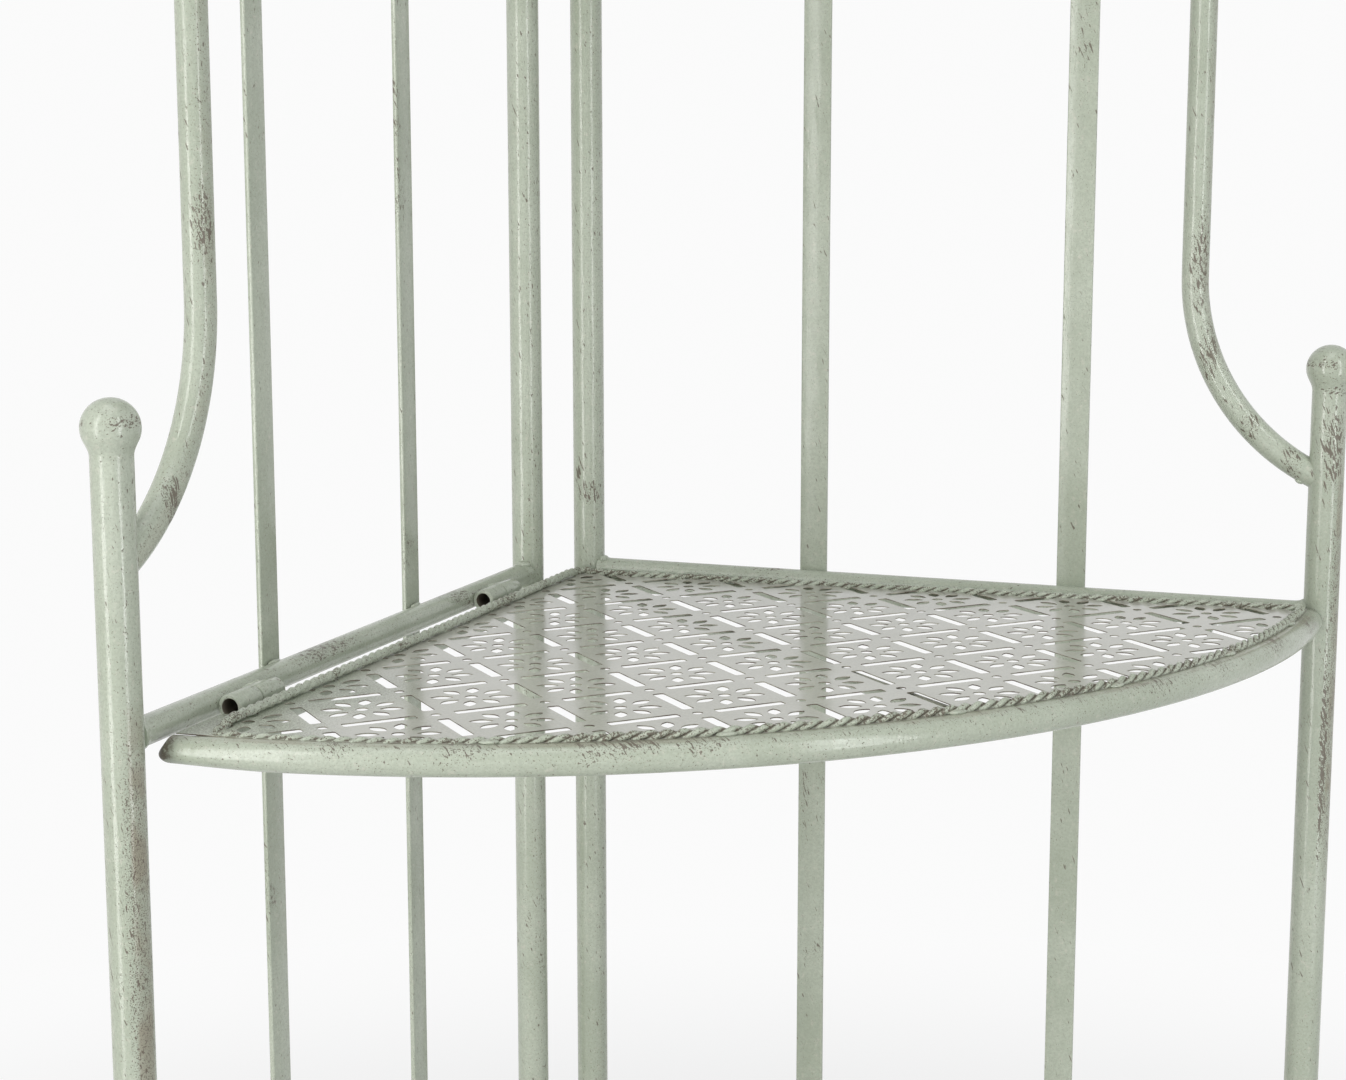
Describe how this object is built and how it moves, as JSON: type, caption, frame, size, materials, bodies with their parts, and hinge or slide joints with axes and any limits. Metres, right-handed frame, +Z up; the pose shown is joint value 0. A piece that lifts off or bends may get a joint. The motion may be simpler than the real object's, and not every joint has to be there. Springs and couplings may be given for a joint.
{
  "type": "corner shelf unit",
  "caption": "Folding corner shelf of painted steel tube with arched side frames and perforated quarter-round drop-down shelves trimmed with twisted wire.",
  "frame": {"origin": "centre of the bounding box at floor level", "axes": "+Z up; the left side frame lies in a plane of constant X and runs along -Y, the right side frame lies in a plane of constant Y and runs along +X; the room corner is at -X +Y"},
  "size_m": [0.3382, 0.3382, 1.6635],
  "materials": {
    "frame_paint": "satin sage-green paint with rubbed brown wear",
    "sheet_paint": "glossy pale grey-green paint",
    "pin_steel": "plain steel",
    "foot_plastic": "matte black plastic"
  },
  "bodies": {
    "left_frame": {"left_back_post": "frame_paint", "left_front_post": "frame_paint", "left_upright": "frame_paint", "left_inner_bar": "frame_paint", "left_outer_bar": "frame_paint", "left_crossbar_1": "frame_paint", "left_crossbar_2": "frame_paint", "left_crossbar_3": "frame_paint", "left_crossbar_4": "frame_paint", "left_front_finial": "frame_paint", "left_top_finial": "frame_paint", "left_back_foot": "foot_plastic", "left_front_foot": "foot_plastic", "left_corner_knuckle_lower": "frame_paint", "left_corner_knuckle_upper": "frame_paint", "corner_pin_lower": "pin_steel", "corner_pin_upper": "pin_steel"},
    "right_frame": {"right_back_post": "frame_paint", "right_front_post": "frame_paint", "right_upright": "frame_paint", "right_inner_bar": "frame_paint", "right_outer_bar": "frame_paint", "right_crossbar_1": "frame_paint", "right_crossbar_2": "frame_paint", "right_crossbar_3": "frame_paint", "right_crossbar_4": "frame_paint", "right_front_finial": "frame_paint", "right_top_finial": "frame_paint", "right_back_foot": "foot_plastic", "right_front_foot": "foot_plastic", "right_corner_knuckle_lower": "frame_paint", "right_corner_knuckle_upper": "frame_paint", "rest_lug_1": "frame_paint", "rest_lug_2": "frame_paint", "rest_lug_3": "frame_paint", "rest_lug_4": "frame_paint"},
    "shelf_1": {"shelf_1_sheet": "sheet_paint", "shelf_1_front_rail": "frame_paint", "shelf_1_hinge_rail": "frame_paint", "shelf_1_side_rail": "frame_paint", "shelf_1_brace": "frame_paint", "shelf_1_trim": "frame_paint"},
    "shelf_2": {"shelf_2_sheet": "sheet_paint", "shelf_2_front_rail": "frame_paint", "shelf_2_hinge_rail": "frame_paint", "shelf_2_side_rail": "frame_paint", "shelf_2_brace": "frame_paint", "shelf_2_trim": "frame_paint"},
    "shelf_3": {"shelf_3_sheet": "sheet_paint", "shelf_3_front_rail": "frame_paint", "shelf_3_hinge_rail": "frame_paint", "shelf_3_side_rail": "frame_paint", "shelf_3_brace": "frame_paint", "shelf_3_trim": "frame_paint"},
    "shelf_4": {"shelf_4_sheet": "sheet_paint", "shelf_4_front_rail": "frame_paint", "shelf_4_hinge_rail": "frame_paint", "shelf_4_side_rail": "frame_paint", "shelf_4_brace": "frame_paint", "shelf_4_trim": "frame_paint"}
  },
  "joints": [
    {"name": "shelf_1_fold", "type": "hinge", "parent": "left_frame", "child": "shelf_1", "pos_m": [-0.1508, 0, 0.2002], "axis": [0, -1, 0], "range_deg": [0, 89]},
    {"name": "shelf_2_fold", "type": "hinge", "parent": "left_frame", "child": "shelf_2", "pos_m": [-0.1508, 0, 0.5702], "axis": [0, -1, 0], "range_deg": [0, 89]},
    {"name": "shelf_3_fold", "type": "hinge", "parent": "left_frame", "child": "shelf_3", "pos_m": [-0.1508, 0, 0.9402], "axis": [0, -1, 0], "range_deg": [0, 89]},
    {"name": "shelf_4_fold", "type": "hinge", "parent": "left_frame", "child": "shelf_4", "pos_m": [-0.1508, 0, 1.3102], "axis": [0, -1, 0], "range_deg": [0, 89]},
    {"name": "right_frame_swing", "type": "hinge", "parent": "left_frame", "child": "right_frame", "pos_m": [-0.15025, 0.15025, 0], "axis": [0, 0, 1], "range_deg": [0, 90]}
  ]
}
